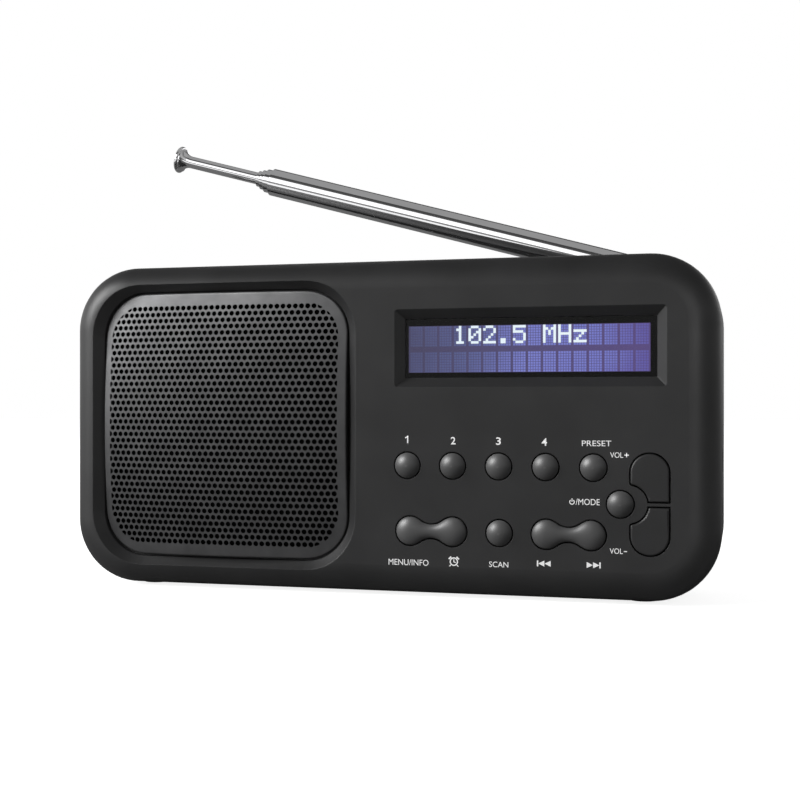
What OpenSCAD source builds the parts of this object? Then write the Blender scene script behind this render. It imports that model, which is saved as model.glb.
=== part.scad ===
// Portable tabletop radio: two-part moulded body, perforated speaker grille, two-line display,
// round and rocker keys, battery compartment and a swivelling telescopic antenna.
// X runs to the right, Y to the back and Z up. The origin is on the table under the middle of the radio.
// Helper modules place things by x, by height above the underside (h) and by depth behind the face (d).

/* [Body] */
// Width of the body
body_w = 160; // [158:0.5:164]
// Height of the body, without its feet
body_h = 79.6; // [79:0.2:82]
// Depth of the body behind its flat face
body_d = 38; // [38:0.5:44]
// Radius of the body's corners seen from the front
body_r = 16; // [14:0.5:17]
// Radius of the rounding round the face
face_fillet = 7.1; // [6:0.1:7.4]
// Radius of the rounding round the back
back_fillet = 4; // [3:0.5:5]
// Thickness of the side walls
wall = 2; // [1.8:0.1:2.2]
// Thickness of the face wall
face_wall = 2.4; // [2.2:0.1:2.6]
// Depth at which the front and rear housings meet
split_d = 20; // [19.8:0.1:20.4]
// Height of the rubber feet below the body
foot_drop = 0.7; // [0.5:0.1:0.8]

/* [Speaker] */
// Width of the grille plate
grille_w = 63.8; // [62:0.2:64]
// Height of the grille plate
grille_h = 65; // [64:0.2:65.2]
// Radius of the grille plate's corners
grille_r = 10.7; // [9:0.1:11]
// Radius of the sphere that the grille's dome is part of
dome_r = 190; // [180:5:230]
// How far the middle of the dome stands proud of the face
dome_proud = 1.6; // [1.4:0.1:2]
// Width of the sloping border round the grille
bevel_run = 2.1; // [1.8:0.1:2.3]
// Outside radius of the speaker's flange
speaker_r = 28.5; // [27:0.5:29]

/* [Display] */
// Width of the display recess at the face
bezel_w = 63; // [62:0.2:64]
// Height of the display recess at the face
bezel_h = 18.3; // [18:0.1:18.6]
// Width of the sloping border round the display
bezel_run = 2.2; // [1.8:0.1:2.4]

/* [Keys] */
// Diameter of the holes for the round keys
key_hole = 6.54; // [6.4:0.02:6.6]
// Gap round every key
key_gap = 0.3; // [0.2:0.01:0.3]
// Distance between neighbouring round keys
key_pitch = 10.88; // [10.6:0.02:11]
// How far the dome of a round key stands proud of the face
key_proud = 1.3; // [1:0.1:1.4]
// Travel of the keys
key_travel = 0.5; // [0.4:0.05:0.5]
// Radius of the holes for the lobes of the rockers
lobe_r = 3.64; // [3.5:0.02:3.7]
// Half the distance between the lobes of a rocker
lobe_x = 5.09; // [5:0.01:5.15]

/* [Antenna] */
// Angle of the antenna above the horizontal
antenna_raise = 15.3; // [0:0.1:60]
// Outside radius of the thickest antenna tube
mast_r = 3.6; // [3.5:0.05:3.6]
// Wall thickness of the antenna tubes
mast_wall = 0.45; // [0.4:0.01:0.46]
// Radial gap between neighbouring antenna tubes
mast_gap = 0.05; // [0.04:0.01:0.06]
// Distance from the antenna's hinge pin to the end of its thickest tube
mast_len = 111; // [100:1:112]

/* [Battery] */
// Radius of a battery cell
cell_r = 7.1; // [7:0.05:7.15]
// Distance between the axes of neighbouring cells
cell_pitch = 14.75; // [14.6:0.05:14.8]

/* [Hidden] */
$fn = 64;
eps = 0.1;
front_y = (dome_proud - body_d) / 2;
half_w = body_w / 2;
split_gap = 0.15;
rim_len = 1.5;
cavity_r = body_r - wall;

// Speaker
grille_x = -half_w + 41;
grille_mid = 40.05;
grille_gap = 0.48;
bevel_depth = 2.4;
ledge_d = 3.8;
baffle_d = 5.8;
plate_t = 0.8;
speaker_screw_at = 21.5;
coil_r = 6.9;
flange_d = 6.6;
basket_d = 16;
magnet_d = 17.2;
magnet_end = 25.2;

// Display
lcd_x = 36.63;
lcd_h = 58.22;
bezel_depth = 2;
bezel_r = 1;
view_x0 = 7.85;
view_x1 = 64.35;
view_h0 = 52.5;
view_h1 = 63.5;
board_d = 8.8;
board_t = 1.6;

// Keys
key_r = key_hole / 2 - key_gap;
key_flange_d = face_wall + 0.25;
key_x0 = 8.3;
key_row = 30.67;
low_row = 15.3;
scan_x = 30.2;
mode_x = 57.87;
mode_h = 22.5;
rocker_x = [14.07, 46.2];
waist_r = 4.2;
waist_h = 1.87;
neck_h = 2.9;
rocker_pin_d = 3.5;
vol_x = 64.41;
vol_r = 4.57;
vol_h0 = 10.84;
vol_h1 = 34.24;
notch_x = 59.62;
notch_r = 4.28;
rib_h = 0.72;
notch_round = 0.8;
switch_top = 5.3;

// Fasteners
case_screws_at = [[-72.5, 10.5], [72.5, 10.5], [-72.5, 62], [72.5, 62]];
board_screws_at = [[4, 9.5], [4, 42], [52, 8.5], [66, 43]];

// Battery compartment
well_x0 = 4.5;
well_x1 = 64.5;
well_h0 = 7.4;
well_h1 = 67;
well_d = 20.9;
well_wall = 1.5;
door_t = 1.8;
door_gap = 0.15;
door_pin_d = body_d - 1.1;
door_pin_h = 7.2;
door_x0 = well_x0 - 0.8;
door_x1 = well_x1 + 0.8;
door_h1 = well_h1 + 0.5;
contact_t = 0.4;
spring_len = 7.2;

// Antenna
channel_h = 70.6;
channel_d = 28.4;
channel_x0 = -72.5;
pivot_x = 69.3;
pivot_h = 75.5;
pivot_d = 33.2;
stem_r = 1.6;
ear_in = 1.6;
ear_out = 3;
ear_r = 2.9;
plug_x = 4.5;
mast_step = mast_wall + mast_gap;
reveal = [0, 1.7, 3, 4.2];
rod_r = mast_r - 4 * mast_step;
rod_end = mast_len + 27.4;
tip_flare = 2.8;

// Sockets
jack_h = 32;
jack_d = 13.4;
usb_h = 18.5;
usb_d = 12.3;

// ---------- Placing ----------

// Turns x, height and minus depth into the radio's own axes
module panel() {
    translate([0, front_y, foot_drop]) rotate([90, 0, 0]) children();
}

// Round bar that runs from depth d0 to depth d1
module disc(x, h, d0, d1, r) {
    translate([x, h, -d1]) cylinder(h = d1 - d0, r = r);
}

module ring(x, h, d0, d1, r_out, r_in) {
    difference() {
        disc(x, h, d0, d1, r_out);
        disc(x, h, d0 - eps, d1 + eps, r_in);
    }
}

module block(x0, x1, h0, h1, d0, d1) {
    translate([x0, h0, -d1]) cube([x1 - x0, h1 - h0, d1 - d0]);
}

// Round bar along x
module bar(x0, x1, h, d, r) {
    translate([x0, h, -d]) rotate([0, 90, 0]) cylinder(h = x1 - x0, r = r);
}

// Solid of revolution about the speaker's axis, from a section drawn as radius and minus depth
module speaker_turned() {
    translate([grille_x, grille_mid, 0]) rotate_extrude() children();
}

// ---------- Rounded blocks ----------

module span(r0, r1, da, db) {
    translate([r0, -max(da, db)]) square([r1 - r0, abs(db - da)]);
}

// Edge section of a rounded block, square at depth d_flat and rounded with radius f at depth d_round
module rounded_edge(r, d_flat, d_round, f) {
    way = d_round > d_flat ? 1 : -1;
    span(0, r - f, d_flat, d_round);
    span(r - f, r, d_flat, d_round - way * f);
    translate([r - f, way * f - d_round]) intersection() {
        circle(f);
        translate([0, way > 0 ? -2 * f : 0]) square(2 * f);
    }
}

// Edge section of a recess that slopes in by run over the depth slope_d and goes straight down to d1
module sloped_edge(r, run, slope_d, d1) {
    over = run / slope_d;
    polygon([[0, 1], [r + over, 1], [r - run, -slope_d], [r - run, -d1], [0, -d1]]);
}

// Block with rounded corners of radius r, whose edge section is the child.
// The middle runs from depth d0 to depth d1.
module edged_block(x0, x1, h0, h1, r, d0, d1) {
    for (c = [[x1 - r, h1 - r, 0], [x0 + r, h1 - r, 90], [x0 + r, h0 + r, 180], [x1 - r, h0 + r, 270]])
        translate([c[0], c[1], 0]) rotate([0, 0, c[2]]) rotate_extrude(angle = 90) children();
    translate([x1 - r, h1 - r, 0]) rotate([90, 0, 0]) linear_extrude(h1 - h0 - 2 * r) children();
    translate([x0 + r, h1 - r, 0]) mirror([1, 0, 0]) rotate([90, 0, 0])
        linear_extrude(h1 - h0 - 2 * r) children();
    translate([x0 + r, h1 - r, 0]) rotate([90, 0, 90]) linear_extrude(x1 - x0 - 2 * r) children();
    translate([x0 + r, h0 + r, 0]) mirror([0, 1, 0]) rotate([90, 0, 90])
        linear_extrude(x1 - x0 - 2 * r) children();
    block(x0 + r, x1 - r, h0 + r, h1 - r, d0, d1);
}

module rounded_block(x0, x1, h0, h1, r, d0, d1) {
    edged_block(x0, x1, h0, h1, r, d0, d1) span(0, r, d0, d1);
}

// ---------- Housings ----------

module front_shape(inset, r, f, d_face, d_back) {
    edged_block(inset - half_w, half_w - inset, inset, body_h - inset, r, d_face, d_back)
        rounded_edge(r, d_back, d_face, f);
}

module rear_shape(inset, r, f, d_face, d_back) {
    edged_block(inset - half_w, half_w - inset, inset, body_h - inset, r, d_face, d_back)
        rounded_edge(r, d_face, d_back, f);
}

// Outline block of the grille, grown by grow on every side
module grille_block(grow, d0, d1) {
    rounded_block(grille_x - grille_w / 2 - grow, grille_x + grille_w / 2 + grow,
        grille_mid - grille_h / 2 - grow, grille_mid + grille_h / 2 + grow, grille_r + grow, d0, d1);
}

module grille_recess() {
    grow = grille_gap + bevel_run;
    edged_block(grille_x - grille_w / 2 - grow, grille_x + grille_w / 2 + grow,
        grille_mid - grille_h / 2 - grow, grille_mid + grille_h / 2 + grow, grille_r + grow, -1, ledge_d)
        sloped_edge(grille_r + grow, bevel_run, bevel_depth, ledge_d);
}

// Recess with mitred sloping sides round the display
module bezel_recess() {
    w = bezel_w / 2;
    h = bezel_h / 2;
    over = bezel_run / bezel_depth;
    translate([lcd_x, lcd_h, 0]) intersection() {
        rounded_block(-w, w, -h, h, bezel_r, -1, face_wall + eps);
        rotate([90, 0, 0]) linear_extrude(bezel_h + 4, center = true)
            polygon([[-w - over, 1], [w + over, 1], [w - bezel_run, -bezel_depth],
                [w - bezel_run, -face_wall - eps], [bezel_run - w, -face_wall - eps],
                [bezel_run - w, -bezel_depth]]);
        rotate([90, 0, 90]) linear_extrude(bezel_w + 4, center = true)
            polygon([[-h - over, 1], [h + over, 1], [h - bezel_run, -bezel_depth],
                [h - bezel_run, -face_wall - eps], [bezel_run - h, -face_wall - eps],
                [bezel_run - h, -bezel_depth]]);
    }
}

// Outline of a rocker, shrunk by gap on every side
module dog_bone(gap) {
    circle_h = waist_h + waist_r;
    for (side = [-1, 1]) translate([side * lobe_x, 0]) circle(lobe_r - gap);
    difference() {
        square([2 * lobe_x, 2 * (neck_h - gap)], center = true);
        for (side = [-1, 1]) translate([0, side * circle_h]) circle(waist_r + gap);
    }
}

// Outline of both volume keys, shrunk by gap on every side
module volume_outline(gap) {
    difference() {
        union() {
            translate([vol_x, vol_h0 + vol_r]) circle(vol_r - gap);
            translate([vol_x, vol_h1 - vol_r]) circle(vol_r - gap);
            translate([vol_x - vol_r + gap, vol_h0 + vol_r])
                square([2 * (vol_r - gap), vol_h1 - vol_h0 - 2 * vol_r]);
        }
        translate([notch_x, mode_h]) circle(notch_r + gap);
        translate([notch_x - vol_r, mode_h - rib_h / 2 - gap]) square([4 * vol_r, rib_h + 2 * gap]);
        notch_corners(gap);
    }
}

// What is cut away to round the two corners where the notch meets the outline
module notch_corners(gap) {
    cx = vol_x - vol_r + notch_round;
    ch = sqrt(pow(notch_r + notch_round, 2) - pow(cx - notch_x, 2));
    way = [notch_x - cx, ch] * notch_r / (notch_r + notch_round);
    for (side = [-1, 1])
        translate([cx, mode_h + side * ch]) difference() {
            polygon([[0, 0], [-2, 0], [way[0], -side * way[1]]]);
            circle(notch_round - gap);
        }
}

function key_at(i) = [key_x0 + key_pitch * i, key_row];

module key_holes() {
    for (i = [0:4]) disc(key_at(i)[0], key_at(i)[1], -1, face_wall + 1, key_hole / 2);
    disc(scan_x, low_row, -1, face_wall + 1, key_hole / 2);
    disc(mode_x, mode_h, -1, face_wall + 1, key_hole / 2);
    for (x = rocker_x) translate([x, low_row, -face_wall - 1]) linear_extrude(face_wall + 2) dog_bone(0);
    translate([0, 0, -face_wall - 1]) linear_extrude(face_wall + 2) volume_outline(0);
}

// Ears on the back of the face wall that carry the rockers' pins
module rocker_ears() {
    for (x = rocker_x)
        for (side = [-1, 1])
            block(x - 1.5, x + 1.5, low_row + side * 3.6 - 0.8, low_row + side * 3.6 + 0.8, face_wall, 4.9);
}

module rocker_bores() {
    for (x = rocker_x)
        translate([x, low_row - 5, -rocker_pin_d]) rotate([-90, 0, 0]) cylinder(h = 10, r = 0.85);
}

module side_socket_holes() {
    bar(half_w - wall - 1, half_w + 1, jack_h, jack_d, 3.1);
    block(half_w - wall - 1, half_w + 1, usb_h - 5, usb_h + 5, usb_d - 2.1, usb_d + 2.1);
}

module front_housing() {
    color([0.16, 0.16, 0.17]) panel() difference() {
        front_shape(0, body_r, face_fillet, 0, split_d - split_gap);
        difference() {
            front_shape(wall, cavity_r, face_fillet - wall, face_wall, split_d + 1);
            rounded_block(grille_x - 34.4, grille_x + 34.4, 5.2, 75, 12.8, 1, baffle_d);
            for (p = case_screws_at) disc(p[0], p[1], 1, split_d - rim_len - 0.1, 3);
            for (p = board_screws_at) disc(p[0], p[1], 1, board_d, 2.2);
            rocker_ears();
        }
        grille_recess();
        disc(grille_x, grille_mid, ledge_d - 1, baffle_d + 1, 26.5);
        bezel_recess();
        key_holes();
        rocker_bores();
        side_socket_holes();
        for (p = case_screws_at) disc(p[0], p[1], 9, split_d + 1, 1.15);
        for (p = board_screws_at) disc(p[0], p[1], 4, board_d + 1, 1.05);
        for (sx = [-1, 1])
            for (sh = [-1, 1])
                disc(grille_x + sx * speaker_screw_at, grille_mid + sh * speaker_screw_at, 4.6, 7, 1.05);
        foot_recesses([13.5]);
    }
}

// Round shallow recesses in the underside, at the depths given
module foot_recesses(depths) {
    for (x = [-62, 62])
        for (d = depths) translate([x, 0.6, -d]) rotate([90, 0, 0]) cylinder(h = 2, r = 3.55);
}

module rear_housing() {
    color([0.14, 0.14, 0.15]) panel() difference() {
        union() {
            rear_shape(0, body_r, back_fillet, split_d, body_d);
            joint_rim(0.1, split_d - rim_len, split_d + 1);
        }
        difference() {
            union() {
                joint_rim(1.2, split_d - rim_len - 1, split_d + 1.5);
                rear_shape(wall, cavity_r, back_fillet - wall, split_d + 1, body_d - wall);
            }
            rear_inner_walls();
        }
        rear_cuts();
    }
}

// Rim of the rear housing that fits inside the front housing, inset from its walls
module joint_rim(inset, d0, d1) {
    rounded_block(wall + inset - half_w, half_w - wall - inset, wall + inset, body_h - wall - inset,
        cavity_r - inset, d0, d1);
}

// Walls that stand inside the rear housing: battery well, antenna channel, screw bosses, hinge bosses
module rear_inner_walls() {
    block(well_x0 - well_wall, well_x1 + well_wall, well_h0 - well_wall, well_h1 + well_wall,
        well_d - well_wall, body_d);
    block(channel_x0 - wall, half_w, channel_h - wall, body_h, channel_d - wall, body_d);
    disc(pivot_x, pivot_h, channel_d - 4, channel_d, 5);
    for (p = case_screws_at) disc(p[0], p[1], split_d - rim_len, body_d, 3.2);
    for (x = [door_x0 - 3, door_x1 + 0.1]) block(x, x + 2.9, 4.8, 9.6, 34, body_d);
}

module rear_cuts() {
    block(well_x0, well_x1, well_h0, well_h1, well_d, body_d + 1);
    door_recess();
    block(channel_x0, half_w + 1, channel_h, body_h + 1, channel_d, body_d + 1);
    disc(pivot_x, pivot_h, channel_d - 5, channel_d + 1, stem_r + 0.05);
    disc(pivot_x, pivot_h, split_d - 2, channel_d - 4, 2.4);
    for (p = case_screws_at) {
        disc(p[0], p[1], split_d - rim_len - 1, body_d + 1, 1.45);
        disc(p[0], p[1], body_d - 5, body_d + 1, 2.7);
    }
    bar(door_x0 - 1.6, door_x1 + 1.6, door_pin_h, door_pin_d, 0.85);
    foot_recesses([28]);
}

// Seat for the door, with a round bottom round its hinge and a finger scoop at its top
module door_recess() {
    block(door_x0, door_x1, door_pin_h, door_h1 + door_gap, body_d - door_t - door_gap, body_d + 1);
    bar(door_x0, door_x1, door_pin_h, door_pin_d, 1.25);
    block(door_x0, door_x1, door_pin_h - 1.25, door_pin_h + 1, door_pin_d, body_d + 1);
}

module rubber_feet() {
    color([0.1, 0.1, 0.1]) panel()
        for (x = [-62, 62])
            for (d = [13.5, 28])
                translate([x, 0.6, -d]) rotate([90, 0, 0]) cylinder(h = foot_drop + 0.6, r = 3.5);
}

// Countersunk-free pan head screw that points to the front, with its head's underside at depth d
module pan_screw(x, h, d, head_r, head_t, shank_r, len) {
    disc(x, h, d - len, d, shank_r);
    difference() {
        disc(x, h, d, d + head_t, head_r);
        block(x - head_r * 0.6, x + head_r * 0.6, h - 0.25, h + 0.25, d + head_t / 2, d + head_t + 1);
        block(x - 0.25, x + 0.25, h - head_r * 0.6, h + head_r * 0.6, d + head_t / 2, d + head_t + 1);
    }
}

module case_screws() {
    color([0.6, 0.6, 0.62]) panel()
        for (p = case_screws_at) pan_screw(p[0], p[1], body_d - 5, 2.4, 1.5, 1.1, 22);
}

// ---------- Speaker ----------

// Domed block, cut by the sphere whose front is at depth d_top
module domed(d_top, r) {
    intersection() {
        children();
        translate([grille_x, grille_mid, -(d_top + r)]) sphere(r, $fn = 300);
    }
}

module speaker_grille() {
    color([0.3, 0.3, 0.31]) panel() difference() {
        domed(-dome_proud, dome_r) grille_block(0, -dome_proud - 1, ledge_d);
        domed(plate_t - dome_proud, dome_r - plate_t)
            grille_block(-plate_t, -dome_proud - 1, ledge_d + 1);
    }
}

module grille_cloth() {
    color([0.04, 0.04, 0.04]) panel() grille_block(-plate_t - 0.2, ledge_d - 0.3, ledge_d);
}

module speaker_gasket() {
    color([0.08, 0.08, 0.08]) panel() ring(grille_x, grille_mid, baffle_d, flange_d, speaker_r, 24.7);
}

module speaker_frame() {
    color([0.25, 0.25, 0.26]) panel() difference() {
        union() {
            speaker_turned() polygon([[23.3, -flange_d], [speaker_r, -flange_d], [speaker_r, -flange_d - 1],
                [25.2, -flange_d - 1], [16, -basket_d], [8, -basket_d], [8, 1 - basket_d],
                [15.2, 1 - basket_d], [23.3, -flange_d - 1.6]]);
            for (sx = [-1, 1])
                for (sh = [-1, 1])
                    disc(grille_x + sx * speaker_screw_at, grille_mid + sh * speaker_screw_at,
                        flange_d, flange_d + 1, 3.4);
        }
        for (sx = [-1, 1])
            for (sh = [-1, 1])
                disc(grille_x + sx * speaker_screw_at, grille_mid + sh * speaker_screw_at,
                    flange_d - 1, flange_d + 2, 1.2);
        for (turn = [45:90:315])
            translate([grille_x, grille_mid, 0]) rotate([0, 0, turn]) block(12, 30, -5, 5, 9, 13.5);
    }
}

module speaker_surround() {
    roll_r = 21.9;
    color([0.07, 0.07, 0.07]) panel() speaker_turned() {
        span(23.2, 24.5, flange_d - 0.4, flange_d);
        span(19.2, 20.6, flange_d - 0.4, flange_d);
        translate([roll_r, -flange_d]) intersection() {
            difference() {
                circle(1.7);
                circle(1.3);
            }
            translate([-2, 0]) square([4, 4]);
        }
    }
}

module speaker_cone() {
    color([0.12, 0.12, 0.12]) panel() speaker_turned()
        polygon([[20.2, -flange_d], [20.2, -flange_d - 0.5], [7.4, -13], [7.4, -12.5], [19.4, -flange_d]]);
}

module speaker_dust_cap() {
    cap_r = 10;
    color([0.1, 0.1, 0.1]) panel() intersection() {
        translate([grille_x, grille_mid, -8.9 - cap_r]) difference() {
            sphere(cap_r);
            sphere(cap_r - 0.4);
        }
        disc(grille_x, grille_mid, 5, 12.1, 9);
    }
}

module speaker_spider() {
    color([0.7, 0.5, 0.25]) panel() ring(grille_x, grille_mid, 13.3, 13.7, 16.2, coil_r + 0.5);
}

module speaker_voice_coil() {
    color([0.72, 0.4, 0.2]) panel() ring(grille_x, grille_mid, 13, 19, coil_r + 0.4, coil_r);
}

module speaker_top_plate() {
    color([0.6, 0.6, 0.6]) panel() ring(grille_x, grille_mid, basket_d, magnet_d, 14, coil_r + 0.8);
}

module speaker_magnet() {
    color([0.15, 0.15, 0.15]) panel() ring(grille_x, grille_mid, magnet_d, magnet_end, 16, 9);
}

module speaker_yoke() {
    color([0.62, 0.62, 0.62]) panel() {
        disc(grille_x, grille_mid, magnet_end, magnet_end + 1.6, 14);
        disc(grille_x, grille_mid, basket_d, magnet_end + 1, coil_r - 0.5);
    }
}

module speaker_screws() {
    color([0.6, 0.6, 0.62]) panel()
        for (sx = [-1, 1])
            for (sh = [-1, 1])
                pan_screw(grille_x + sx * speaker_screw_at, grille_mid + sh * speaker_screw_at,
                    flange_d + 1, 2, 1.2, 1, 2.8);
}

// ---------- Display ----------

module lcd_window() {
    color([0.8, 0.85, 0.9, 0.3]) panel() block(4.8, 68.4, 48.9, 67.5, face_wall, face_wall + 0.8);
}

module lcd_frame() {
    front_d = face_wall + 0.8;
    color([0.05, 0.05, 0.05]) panel() difference() {
        block(3.6, 69.3, 48.2, 68.2, front_d, board_d);
        block(view_x0, view_x1, view_h0, view_h1, front_d - 1, board_d);
        block(4.9, 68.3, 49.4, 67, front_d + 0.4, board_d + 1);
    }
}

module lcd_panel() {
    color([0.35, 0.38, 0.75]) panel() block(5, 68.2, 49.5, 66.9, face_wall + 1.2, face_wall + 3);
}

module lcd_backlight() {
    color([0.95, 0.95, 1]) panel() block(5, 68.2, 49.5, 66.9, face_wall + 3, board_d - 0.6);
}

// ---------- Keys ----------

// Round key with a domed top, a flange that keeps it in and a stem that presses its switch
module round_key(x, h) {
    ball_r = (key_r * key_r + key_proud * key_proud) / (2 * key_proud);
    color([0.24, 0.24, 0.25]) panel() {
        intersection() {
            disc(x, h, -key_proud - 1, key_flange_d, key_r);
            translate([x, h, key_proud - ball_r]) sphere(ball_r);
        }
        disc(x, h, key_flange_d, key_flange_d + 1, 4);
        disc(x, h, key_flange_d + 1, switch_top - key_travel - 0.1, 1.4);
    }
}

module key_1() { round_key(key_at(0)[0], key_row); }
module key_2() { round_key(key_at(1)[0], key_row); }
module key_3() { round_key(key_at(2)[0], key_row); }
module key_4() { round_key(key_at(3)[0], key_row); }
module preset_key() { round_key(key_at(4)[0], key_row); }
module scan_key() { round_key(scan_x, low_row); }
module mode_key() { round_key(mode_x, mode_h); }

// Rocker that tilts about a pin behind its waist, with a stem behind each lobe
module rocker(x) {
    lobe = lobe_r - key_gap;
    proud = 1.2;
    ball_r = (lobe * lobe + proud * proud) / (2 * proud);
    flange_d0 = rocker_pin_d - 0.5;
    color([0.24, 0.24, 0.25]) panel() translate([x, low_row, 0]) {
        translate([0, 0, -flange_d0]) linear_extrude(flange_d0 + 0.5) dog_bone(key_gap);
        for (side = [-1, 1]) {
            intersection() {
                disc(side * lobe_x, 0, -proud - 1, flange_d0, lobe);
                translate([side * lobe_x, 0, proud - ball_r]) sphere(ball_r);
            }
            disc(side * lobe_x, 0, flange_d0, flange_d0 + 1, 4.2);
            disc(side * lobe_x, 0, flange_d0 + 1, 4.9, 1.2);
        }
        block(-lobe_x, lobe_x, -1.6, 1.6, flange_d0, flange_d0 + 1);
        translate([0, -4.4, -rocker_pin_d]) rotate([-90, 0, 0]) cylinder(h = 8.8, r = 0.8);
    }
}

module menu_rocker() { rocker(rocker_x[0]); }
module skip_rocker() { rocker(rocker_x[1]); }

// One of the two volume keys: side is 1 for the upper one and -1 for the lower one
module volume_key(side) {
    half = vol_h1 - mode_h;
    color([0.22, 0.22, 0.23]) panel() {
        intersection() {
            translate([0, 0, -key_flange_d]) linear_extrude(key_flange_d + 0.35) volume_outline(key_gap);
            block(vol_x - 9, vol_x + 9, min(mode_h, mode_h + side * half), max(mode_h, mode_h + side * half),
                -2, 5);
        }
        block(59.4, 69.6, mode_h + (side > 0 ? 4.8 : -11), mode_h + (side > 0 ? 11 : -4.8),
            key_flange_d, key_flange_d + 1);
        disc(vol_x, mode_h + side * 6.8, key_flange_d + 1, switch_top - key_travel - 0.1, 1.4);
    }
}

module volume_up_key() { volume_key(1); }
module volume_down_key() { volume_key(-1); }

// ---------- Electronics ----------

module main_board() {
    color([0.1, 0.35, 0.2]) panel() difference() {
        block(1.5, 68.5, 6.5, 69.5, board_d, board_d + board_t);
        for (p = board_screws_at) disc(p[0], p[1], board_d - 1, board_d + board_t + 1, 1.2);
    }
}

module board_screws() {
    color([0.6, 0.6, 0.62]) panel()
        for (p = board_screws_at) pan_screw(p[0], p[1], board_d + board_t, 2, 1.2, 1, 5.5);
}

module tact_switches() {
    round_at = [for (i = [0:4]) key_at(i)];
    rocker_at = [for (x = rocker_x) for (side = [-1, 1]) [x + side * lobe_x, low_row]];
    volume_at = [for (side = [-1, 1]) [vol_x, mode_h + side * 6.8]];
    color([0.5, 0.5, 0.52]) panel()
        for (p = concat(round_at, rocker_at, volume_at, [[scan_x, low_row], [mode_x, mode_h]])) {
            block(p[0] - 2.25, p[0] + 2.25, p[1] - 2.25, p[1] + 2.25, switch_top + 0.9, board_d);
            disc(p[0], p[1], switch_top, switch_top + 0.9, 1.2);
        }
}

module tuner_module() {
    back = board_d + board_t;
    color([0.75, 0.76, 0.78]) panel() {
        block(9, 31, 44, 64, back, back + 3);
        block(10.5, 29.5, 45.5, 62.5, back + 3, back + 3.2);
    }
}

module main_chip() {
    back = board_d + board_t;
    color([0.06, 0.06, 0.07]) panel() block(40, 52, 46, 58, back, back + 1.4);
}

module filter_capacitors() {
    back = board_d + board_t;
    color([0.15, 0.2, 0.4]) panel()
        for (x = [38, 44.5, 51]) disc(x, 24, back, back + 6.5, 2.5);
}

module headphone_jack() {
    back = board_d + board_t;
    color([0.08, 0.08, 0.08]) panel() difference() {
        union() {
            block(65, 77.8, jack_h - 3, jack_h + 3, back, jack_d + 3);
            bar(77, half_w - 0.3, jack_h, jack_d, 2.95);
        }
        bar(66.5, half_w + 1, jack_h, jack_d, 1.8);
    }
}

module usb_socket() {
    color([0.7, 0.7, 0.72]) panel() {
        difference() {
            block(71, half_w - 0.4, usb_h - 4.5, usb_h + 4.5, usb_d - 1.65, usb_d + 1.65);
            block(72, half_w + 1, usb_h - 4.15, usb_h + 4.15, usb_d - 1.3, usb_d + 1.3);
        }
        block(71.5, half_w - 1.4, usb_h - 3.3, usb_h + 3.3, usb_d - 0.35, usb_d + 0.35);
        block(66, 71, usb_h - 4.5, usb_h + 4.5, board_d + board_t, usb_d + 1.65);
    }
}

// ---------- Batteries ----------

function cell_h(i) = (well_h0 + well_h1) / 2 + (i - 2.5) * cell_pitch;
// Cells lie side by side and point alternately right and left
function cell_way(i) = i % 2 == 1 ? 1 : -1;
cell_d = well_d + 0.1 + cell_r;
cell_x0 = well_x0 + contact_t + spring_len;
cell_len = 49.2;
cell_mid = (well_x0 + well_x1) / 2;

// Turns something drawn for a cell that points right round for a cell that points left
module cell_turn(i) {
    translate([cell_mid, 0, 0]) mirror([cell_way(i) > 0 ? 0 : 1, 0, 0]) translate([-cell_mid, 0, 0]) children();
}

module battery_cell(i) {
    color([0.75, 0.55, 0.2]) panel() cell_turn(i) {
        bar(cell_x0, cell_x0 + cell_len, cell_h(i), cell_d, cell_r);
        bar(cell_x0 + cell_len - 1, cell_x0 + cell_len + 1.3, cell_h(i), cell_d, 2.75);
    }
}

module battery_contacts() {
    color([0.8, 0.8, 0.78]) panel()
        for (i = [1:4]) {
            cell_turn(i) block(well_x0, well_x0 + contact_t, cell_h(i) - 5.5, cell_h(i) + 5.5, cell_d - 6, cell_d + 6);
            cell_turn(i) {
                block(well_x1 - contact_t, well_x1, cell_h(i) - 5.5, cell_h(i) + 5.5, cell_d - 6, cell_d + 6);
                bar(cell_x0 + cell_len + 1.3, well_x1 - contact_t / 2, cell_h(i), cell_d, 2.5);
            }
        }
}

module battery_springs() {
    color([0.85, 0.85, 0.83]) panel()
        for (i = [1:4])
            cell_turn(i) difference() {
                bar(well_x0 + contact_t, cell_x0, cell_h(i), cell_d, 3.4);
                bar(well_x0 + contact_t - 1, cell_x0 + 1, cell_h(i), cell_d, 2.7);
            }
}

module battery_door() {
    inner_d = body_d - door_t;
    color([0.14, 0.14, 0.15]) panel() {
        difference() {
            block(door_x0 + door_gap, door_x1 - door_gap, door_pin_h, door_h1, inner_d, body_d);
            translate([cell_mid, door_h1 - 6, -body_d - 5]) sphere(5.9);
            for (i = [0:5]) block(cell_mid - 9, cell_mid + 9, 52 - 1.6 * i, 52.8 - 1.6 * i, body_d - 0.4, body_d + 1);
        }
        bar(door_x0 + door_gap, door_x1 - door_gap, door_pin_h, door_pin_d, 0.9);
        block(door_x0 + door_gap, door_x1 - door_gap, door_pin_h, door_pin_h + 1.5, inner_d - 0.1, inner_d + 0.5);
        bar(door_x0 - 1.4, door_x1 + 1.4, door_pin_h, door_pin_d, 0.8);
    }
}

// ---------- Antenna ----------

// The antenna's own frame: its mast lies along minus x and its hinge pin along the third axis
module antenna_frame() {
    translate([pivot_x, front_y + pivot_d, foot_drop + pivot_h]) rotate([0, antenna_raise, 0]) children();
}

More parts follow.
